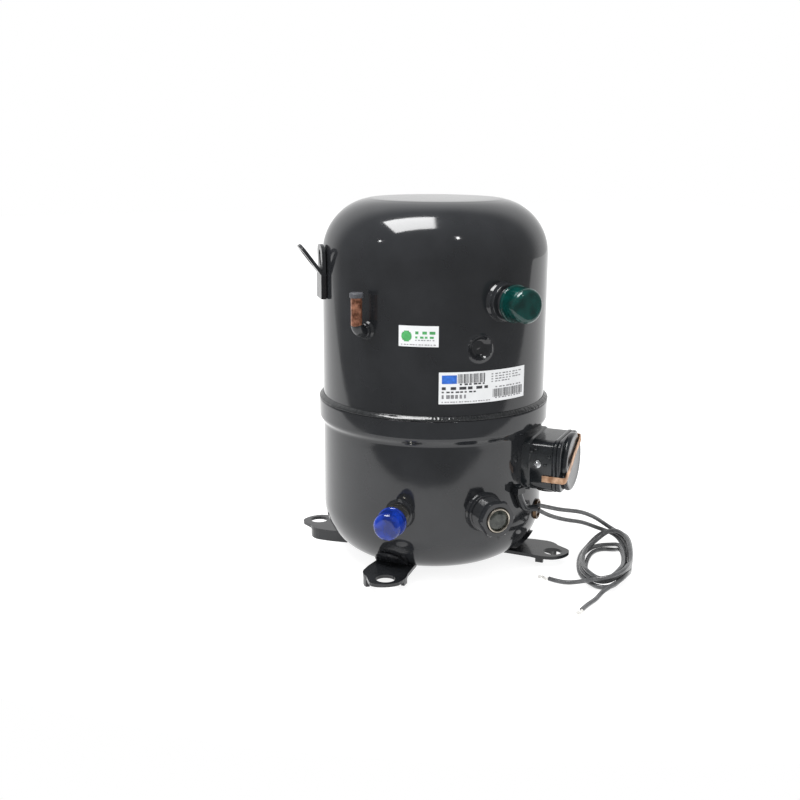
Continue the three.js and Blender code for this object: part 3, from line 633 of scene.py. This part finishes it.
# ---- oil sight glass ----
lathe("sight_fitting", [
    (12.6, 106), (14, 106), (14, 112), *brazed(19, 121, 1.8), (16.6, 121.3),
    *thread(17.4, 0.9, 122, 135, 1.7), (16.6, 136), (12.6, 136)],
    SIGHT_PLACE, ENAMEL, 128, replaces=["sight_glass_spigot"], slot="enamel", angle=30)


def hexagon(r, z, a):
    """Flattens a round outside into a chamfered hexagon 33 mm across its flats."""
    if r < 14:
        return r
    corner = (a % (math.pi / 3)) - math.pi / 6
    return min(r, 16.5 / math.cos(corner))


lathe("sight_nut", [
    (12.3, 136.3), (17.6, 136.3), (19.05, 137.4), (19.05, 142.2), (17.2, 143.6), (13.2, 143.6), (12.7, 143.3),
    (12.3, 142.6)], SIGHT_PLACE, ENAMEL, 180, hexagon, replaces=["sight_glass_nut"], slot="enamel", angle=30)
lathe("sight_ring", [
    (10.35, 136.4), (12.25, 136.4), (12.25, 144.2), (12, 144.9), (11.3, 145.3), (10.7, 145), (10.4, 144.3)],
    SIGHT_PLACE, BRASS, 128, replaces=["sight_glass_ring"], slot="steel")
lathe("sight_lens", [
    (0, 137), (10.2, 137), (10.3, 143), (9.6, 143.6), (6, 144.1), (0, 144.3)],
    SIGHT_PLACE, GLASS, 96, replaces=["sight_glass_lens"], slot="sight_glass")

# ---- process tube ----
PROCESS_PLACE = spun(PROCESS[0])
TUBE_REACH = 130.5
TUBE_TOP = 287


def pipe(name, line, outer, inner, place, finish, segments=40, **rest):
    """A hollow tube whose middle line lies in the x-z plane."""
    verts, faces = [], []
    count = len(line)
    for r in (outer, inner):
        for i, (x, z) in enumerate(line):
            ahead = Vector(line[min(i + 1, count - 1)]) - Vector(line[max(i - 1, 0)])
            ahead.normalize()
            for k in range(segments):
                a = 2 * math.pi * k / segments
                verts.append((x - ahead.y * r * math.cos(a), r * math.sin(a), z + ahead.x * r * math.cos(a)))
    rows = [[half * count * segments + i * segments + k for k in range(segments)]
            for half in (0, 1) for i in range(count)]
    order = list(range(count)) + list(range(2 * count - 1, count - 1, -1)) + [0]
    for low, high in zip(order, order[1:]):
        for k in range(segments):
            n = (k + 1) % segments
            faces.append((rows[low][k], rows[low][n], rows[high][n], rows[high][k]))
    return piece(name, verts, faces, place, finish, **rest)


BEND_R = 9
bend = [(TUBE_REACH - BEND_R + x, PROCESS[1] + BEND_R + y) for x, y in arc(0, 0, BEND_R, -90, 0, 10)]
elbow = [(112, PROCESS[1]), (116, PROCESS[1]), *bend]
upright = [(TUBE_REACH, z) for z in (268, 274, 280, 285.5)]
pipe("process_pipe", [*elbow, *upright, (TUBE_REACH, TUBE_TOP)], 5.4, 4.2, PROCESS_PLACE, TUBE_COPPER,
     replaces=["process_tube"], slot="copper", angle=50)
pipe("process_paint", elbow[1:-1], 5.7, 5.45, PROCESS_PLACE, PRESSED, slot="enamel", angle=50)
lathe("process_collar", [
    (5.72, 114), (9.6, 114), (9, 116.2), (8, 117.4), (7.7, 119), (7.6, 121.4), (7.1, 122.1), (5.72, 122.1)],
    radial(*PROCESS), ENAMEL, 64, replaces=["process_sleeve"], slot="enamel")
lathe("tube_stopper", [
    (0, 278), (3.3, 278), (3.7, 278.5), (3.7, TUBE_TOP + 0.3), (6.3, TUBE_TOP + 0.3), (6.8, TUBE_TOP + 0.8),
    (6.8, 290.9), (6.5, 291.6), (5.8, 292), (0, 292.1)],
    PROCESS_PLACE @ shift(TUBE_REACH, 0, 0), PLUG, 64,
    body="tube_plug", replaces=["process_plug"], slot="rubber")


# ---- terminal box, cover and strap ----
def loft(name, sections, place, finish, hollow=False, **rest):
    """Joins outlines of one length, given with their heights. A hollow one runs back to where it starts."""
    count = len(sections[0][0])
    verts = [(x, y, z) for outline, z in sections for x, y in outline]
    pairs = list(zip(range(len(sections)), range(1, len(sections))))
    if hollow:
        pairs.append((len(sections) - 1, 0))
    faces = [(low * count + k, low * count + (k + 1) % count, high * count + (k + 1) % count, high * count + k)
             for low, high in pairs for k in range(count)]
    if not hollow:
        faces += [tuple(range(count)), tuple(range((len(sections) - 1) * count, len(sections) * count))]
    return piece(name, verts, faces, place, finish, **rest)


BOX_WIDTH = 68
BOX_HEIGHT = 52


def box_line(grow):
    return rectangle(BOX_WIDTH + 2 * grow, BOX_HEIGHT + 2 * grow, 10 + grow, 10)


loft("terminal_housing", [
    (box_line(1.8), 106), (box_line(1.8), 116), (box_line(1.2), 117.4), (box_line(0), 118.4),
    (box_line(0), 122), (box_line(0), 140.6), (box_line(0.9), 141.4), (box_line(1.1), 143.6),
    (box_line(0.6), 144.8), (box_line(0), 145), (box_line(-2), 145), (box_line(-2.6), 144.4),
    (box_line(-2.6), 106)],
    TERMINAL_PLACE, PLASTIC, hollow=True, replaces=["terminal_box"], slot="black_plastic", angle=45)
loft("cover_plate", [
    (box_line(-1), 145.3), (box_line(0.4), 145.3), (box_line(0.8), 145.9), (box_line(0.8), 148.4),
    (box_line(0.2), 149.2), (box_line(-1), 149.5)],
    TERMINAL_PLACE, PLASTIC, body="cover", replaces=["terminal_cover"], slot="black_plastic", angle=45)
lathe("cover_disc", [
    (0, 149), (29.4, 149), (29.8, 150.2), (30, 151.4), (29.8, 152.8), (29, 153.8), (27.8, 154.3),
    (26.4, 154.45), (24.6, 154.1), (22, 153.9), (8, 153.9), (0, 153.9)],
    TERMINAL_PLACE, PLASTIC, 128, body="cover", slot="black_plastic", angle=50)
for index, (out, level) in enumerate(((134, 3), (138, 11.5), (120, 16), (124, 19))):
    lathe(f"box_rivet_{index + 1}", [(0, 33.4), (1.9, 33.4), (1.9, 34.4), (1.4, 35), (0, 35.2)],
          TERMINAL_PLACE @ shift(0, level, out) @ Matrix.Rotation(math.radians(-90), 4, "Y"), PLASTIC, 24,
          slot="black_plastic")

# The outline of a strap's cross-section, as shares of its half-width and half-thickness.
SECTION = [(-1, -0.4), (-0.94, -1), (0.94, -1), (1, -0.4), (1, 0.4), (0.94, 1), (-0.94, 1), (-1, 0.4)]
STRAP_WIDTH = 6.5
STRAP_THICK = 1
STRAP_LEVEL = -11.2
SLANT = math.radians(30)


def ribbon(name, stations, width, thickness, place, finish, **rest):
    """A flat strip along stations of (point, direction across it)."""
    verts = []
    count = len(stations)
    sides = len(SECTION)
    for i, (here, across) in enumerate(stations):
        ahead = stations[min(i + 1, count - 1)][0] - stations[max(i - 1, 0)][0]
        across = across.normalized()
        normal = ahead.cross(across).normalized()
        half, deep = width / 2, thickness / 2
        for u, v in SECTION:
            verts.append(here + across * u * half + normal * v * deep)
    faces = [(i + k, i + (k + 1) % sides, i + sides + (k + 1) % sides, i + sides + k)
             for i in range(0, (count - 1) * sides, sides) for k in range(sides)]
    faces += [tuple(range(sides)), tuple(range((count - 1) * sides, count * sides))]
    return piece(name, verts, faces, place, finish, **rest)


def strap_point(along, z):
    return Vector((-34 + along * math.cos(SLANT), STRAP_LEVEL + along * math.sin(SLANT), z))


UPWARD = Vector((0, 1, 0))
SLANTED = Vector((-math.sin(SLANT), math.cos(SLANT), 0))
side_run = [(Vector((-35.6, STRAP_LEVEL, z)), UPWARD) for z in (131.5, 136, 141, 146, 150, 152.6)]
turn_run = [(Vector((-35.3, STRAP_LEVEL + 0.1, 154.1)), UPWARD + SLANTED * 0.3),
            (Vector((-34.4, STRAP_LEVEL + 0.4, 155.1)), UPWARD + SLANTED),
            (strap_point(1.6, 155.4), SLANTED)]
long_run = [(strap_point(along, 155.35 + 0.25 * math.sin(along / 9)), SLANTED) for along in range(5, 62, 4)]
hook_run = [(strap_point(63.4, 155.3), SLANTED), (strap_point(64.7, 154.9), SLANTED),
            (strap_point(65.3, 154), SLANTED), (strap_point(65.4, 152.6), SLANTED),
            (strap_point(65.4, 151.2), SLANTED), (strap_point(65.5, 150.4), SLANTED)]
ribbon("strap_band", side_run + turn_run + long_run + hook_run, STRAP_WIDTH, STRAP_THICK,
       TERMINAL_PLACE, STRAP, body="strap", replaces=["cover_strap"], slot="copper", angle=40)

SCREW_PLACE = TERMINAL_PLACE @ shift(-34, 3, 126) @ Matrix.Rotation(math.radians(-90), 4, "Y")
screw = lathe("screw_head", [
    (0, -4), (1.7, -4), (1.7, 0.3), (3.9, 0.3), (4, 0.9), (3.6, 1.4), (2.9, 1.6), (2.8, 2.2), (2, 2.9),
    (0, 3.1)], SCREW_PLACE, None, 64)
slot_cutter = box("screw_slot", (7, 0.8, 2), (0, 0, 3), SCREW_PLACE)
carve(screw, slot_cutter)
smooth(screw, 35)
dress(screw, STEEL, "shell", ["earth_screw"])

lathe("cable_flange", [
    (6, 5), (8, 5), (8, -0.3), (12.6, -0.3), (13, -0.8), (13, -2.4), (12.5, -3), (6.6, -3), (6, -2.4)],
    TERMINAL_PLACE @ shift(-8, -26, 131) @ Matrix.Rotation(math.radians(-90), 4, "X"), PLASTIC, 96,
    replaces=["cable_entry"], slot="black_plastic")

# ---- crankcase heater end and the sheath of its leads ----
lathe("heater_end", [
    (0, 106), (8, 106), (8, 112), (10.8, 113), (10.6, 117.2), (10, 118), (8.8, 118), (8.2, 117.2), (7.9, 116),
    (6.6, 115.7), (5.8, 116.8), (3, 117.4), (0, 117.5)],
    radial(*HEATER), BRONZE, 96, replaces=["heater_plug"], slot="copper")
sheath_line = [
    polar(120.5, -70.6, 97), polar(120.5, -69.4, 88), polar(120.5, -67.4, 79), polar(121, -65, 72),
    polar(123, -62.4, 69.4), polar(128, -59.3, 68.9)]
tube("sheath", catmull(sheath_line, 1.5), 3.4, HERE, PLASTIC, replaces=["lead_sheath"])


# ---- labels: a curved film with generic printed marks ----
def curved(name, marks, r0, r1, finish, **rest):
    """Closed curved plates, each from azimuth to azimuth and height to height, as one mesh."""
    verts, faces = [], []
    for start, end, low, high in marks:
        steps = max(1, round(abs(end - start) / 1.5))
        base = len(verts)
        for i in range(steps + 1):
            a = start + (end - start) * i / steps
            verts += [polar(r0, a, low), polar(r1, a, low), polar(r1, a, high), polar(r0, a, high)]
        for i in range(steps):
            at = base + 4 * i
            faces += [(at + k, at + (k + 1) % 4, at + 4 + (k + 1) % 4, at + 4 + k) for k in range(4)]
        end_face = base + 4 * steps
        faces += [(base, base + 1, base + 2, base + 3), (end_face, end_face + 1, end_face + 2, end_face + 3)]
    return piece(name, verts, faces, HERE, finish, **rest)


FILM_R = (SHELL_R + 0.1, SHELL_R + 0.45)
PRINT_R = (SHELL_R + 0.46, SHELL_R + 0.5)
DATA_LABEL = (-113.1, -65.4, 186.5, 217.5)
ECO_LABEL = (-132.4, -113.4, 242, 262)
curved("data_film", [DATA_LABEL], *FILM_R, FILM, replaces=["data_label"], slot="label_film")
curved("eco_film", [ECO_LABEL], *FILM_R, FILM, replaces=["eco_label"], slot="label_film")


def printed(label, u0, u1, v0, v1):
    """Part of a label, by shares of its width from the left and of its height from the top."""
    left, right, low, high = label
    wide, tall = right - left, high - low
    return (left + wide * u0, left + wide * u1, high - tall * v1, high - tall * v0)


def bars(label, u0, u1, v0, v1, count, key):
    """A barcode: upright bars of uneven width."""
    made = []
    for i in range(count):
        width = (0.4 + 0.4 * ((i * key) % 7) / 7) / count * (u1 - u0)
        start = u0 + (u1 - u0) * i / count
        made.append(printed(label, start, start + width, v0, v1))
    return made


def words(label, u0, u1, v, height, count, key):
    """A line of generic text marks, one block for each word."""
    made = []
    for i in range(count):
        start = u0 + (u1 - u0) * i / count
        width = (0.45 + 0.45 * ((i * key) % 5) / 5) * (u1 - u0) / count
        made.append(printed(label, start, start + width, v, v + height))
    return made


black_marks = [
    *bars(DATA_LABEL, 0.19, 0.48, 0.06, 0.35, 19, 5), *bars(DATA_LABEL, 0.57, 0.97, 0.6, 0.86, 26, 3),
    *words(DATA_LABEL, 0.21, 0.5, 0.36, 0.05, 6, 3), *words(DATA_LABEL, 0.03, 0.56, 0.46, 0.09, 6, 2),
    *words(DATA_LABEL, 0.03, 0.4, 0.6, 0.05, 8, 3)]
grey_marks = [
    *words(DATA_LABEL, 0.55, 0.95, 0.1, 0.035, 9, 3), *words(DATA_LABEL, 0.55, 0.9, 0.18, 0.035, 8, 2),
    *words(DATA_LABEL, 0.55, 0.95, 0.26, 0.035, 9, 4), *words(DATA_LABEL, 0.55, 0.8, 0.34, 0.035, 6, 3),
    *words(DATA_LABEL, 0.6, 0.96, 0.52, 0.04, 8, 3), *words(DATA_LABEL, 0.6, 0.96, 0.87, 0.035, 9, 2),
    *words(DATA_LABEL, 0.03, 0.55, 0.92, 0.03, 18, 3), *words(DATA_LABEL, 0.03, 0.3, 0.71, 0.12, 6, 4)]
curved("data_print_black", black_marks, *PRINT_R, BLACK_INK)
curved("data_print_grey", grey_marks, *PRINT_R, GREY_INK)
curved("data_print_blue", [printed(DATA_LABEL, 0.03, 0.18, 0.09, 0.36)], *PRINT_R, BLUE_INK)
emblem = [printed(ECO_LABEL, 0.2 - 0.13 * w, 0.2 + 0.13 * w, 0.5 + 0.26 * v, 0.5 + 0.26 * (v + 0.25))
          for v, w in ((-1, 0.5), (-0.75, 0.8), (-0.5, 0.95), (-0.25, 1), (0, 1), (0.25, 0.95), (0.5, 0.8),
                       (0.75, 0.5))]
green_marks = [
    *emblem, *words(ECO_LABEL, 0.42, 0.95, 0.26, 0.14, 3, 2), *words(ECO_LABEL, 0.42, 0.9, 0.5, 0.1, 4, 3)]
curved("eco_print_green", green_marks, *PRINT_R, GREEN_INK)
curved("eco_print_grey", [*words(ECO_LABEL, 0.06, 0.95, 0.88, 0.045, 12, 3),
                          *words(ECO_LABEL, 0.42, 0.92, 0.66, 0.05, 7, 2)], *PRINT_R, GREY_INK)

# ---- the rest of the frame, in procedural finishes ----
FINISHES = {
    "enamel": ENAMEL, "black_plastic": PLASTIC, "copper": COPPER, "windings": WINDINGS, "rubber": RUBBER,
    "teal_plastic": TEAL, "blue_plastic": BLUE, "sight_glass": GLASS, "label_film": FILM, "cast_iron": IRON,
    "lamination": LAMINATION, "aluminium": ALUMINIUM, "steel": STEEL}
slots = {row["node"]: row["material_slot"] for row in frame["record"]["subparts"]}
for name, node in frame["nodes"].items():
    if node.hide_render or name.startswith("foot_"):
        continue
    smooth(node, 35)
    node.data.materials.clear()
    node.data.materials.append(PRESSED if name in ("lead_clip", "lifting_lug") else FINISHES[slots[name]])

# ---- floor, light and surroundings ----
# The table ends a little in front of the object. The dark shape in the shell's lower half mirrors what
# lies beyond its edge.
table_edge = [(-1300, 5000), (-1150, 1900), (-900, 900), (-598, -33), (-439, -201), (-313, -320),
              (-185, -399), (-39, -458), (70, -510), (246, -562), (700, -560), (1230, -440), (2200, -300),
              (4000, 0), (4000, 5000)]
floor_mesh = bpy.data.meshes.new("floor")
floor_mesh.from_pydata([ROW @ Vector((x, y, -0.05)) for x, y in table_edge], [], [range(len(table_edge))])
floor = bpy.data.objects.new("floor", floor_mesh)
bpy.context.scene.collection.objects.link(floor)
pale = bpy.data.materials.new("floor")
pale.use_nodes = True
pale_shader = pale.node_tree.nodes["Principled BSDF"]
pale_shader.inputs["Base Color"].default_value = (0.35, 0.35, 0.35, 1)
pale_shader.inputs["Roughness"].default_value = 0.9
pale_shader.inputs["Specular IOR Level"].default_value = 0
pale_shader.inputs["Emission Color"].default_value = (1, 1, 1, 1)
pale_shader.inputs["Emission Strength"].default_value = 0.85
floor_mesh.materials.append(pale)

world = bpy.data.worlds.new("studio")
bpy.context.scene.world = world
world.use_nodes = True
nodes, links = world.node_tree.nodes, world.node_tree.links
background = nodes["Background"]
ray = nodes.new("ShaderNodeLightPath")
where = nodes.new("ShaderNodeTexCoord")
facing_away = nodes.new("ShaderNodeVectorMath")
facing_away.operation = "DOT_PRODUCT"
facing_away.inputs[1].default_value = (math.sin(LOOK_AZIMUTH), math.cos(LOOK_AZIMUTH), 0)
links.new(where.outputs["Generated"], facing_away.inputs[0])
room = nodes.new("ShaderNodeMapRange")
room.interpolation_type = "SMOOTHSTEP"
room.inputs["From Min"].default_value = 0.3
room.inputs["From Max"].default_value = 0.7
room.inputs["To Min"].default_value = 0.3
room.inputs["To Max"].default_value = 0.9
links.new(facing_away.outputs["Value"], room.inputs["Value"])
mixed = nodes.new("ShaderNodeMix")
mixed.data_type = "FLOAT"
mixed.inputs["A"].default_value = 1.0
links.new(ray.outputs["Is Glossy Ray"], mixed.inputs["Factor"])
links.new(room.outputs["Result"], mixed.inputs["B"])
links.new(mixed.outputs["Result"], background.inputs["Strength"])
background.inputs["Color"].default_value = (1, 1, 1, 1)


def lamp(name, at, towards, size, power, along=(0, 0, 1)):
    """A rectangular light. along is the direction its first side follows."""
    data = bpy.data.lights.new(name, "AREA")
    data.shape = "RECTANGLE"
    data.size, data.size_y = size[0] / 1000, size[1] / 1000
    data.energy = power
    made = bpy.data.objects.new(name, data)
    bpy.context.scene.collection.objects.link(made)
    back = (Vector(at) - Vector(towards)).normalized()
    first = Vector(along)
    first = (first - back * first.dot(back)).normalized()
    turned = Matrix((first, back.cross(first), back)).transposed().to_4x4()
    made.matrix_world = Matrix.Translation(ROW @ Vector(at)) @ turned


lamp("softbox", (-498, -72, 1650), (-60, -80, 350), (860, 720), 31, (777, -380, 240))
lamp("lamp_a", (33, -1140, 1429), (-27, -106, 344), (110, 60), 0.8)
lamp("lamp_b", (-1368, -72, 1124), (-90, -66, 340), (60, 60), 0.35)
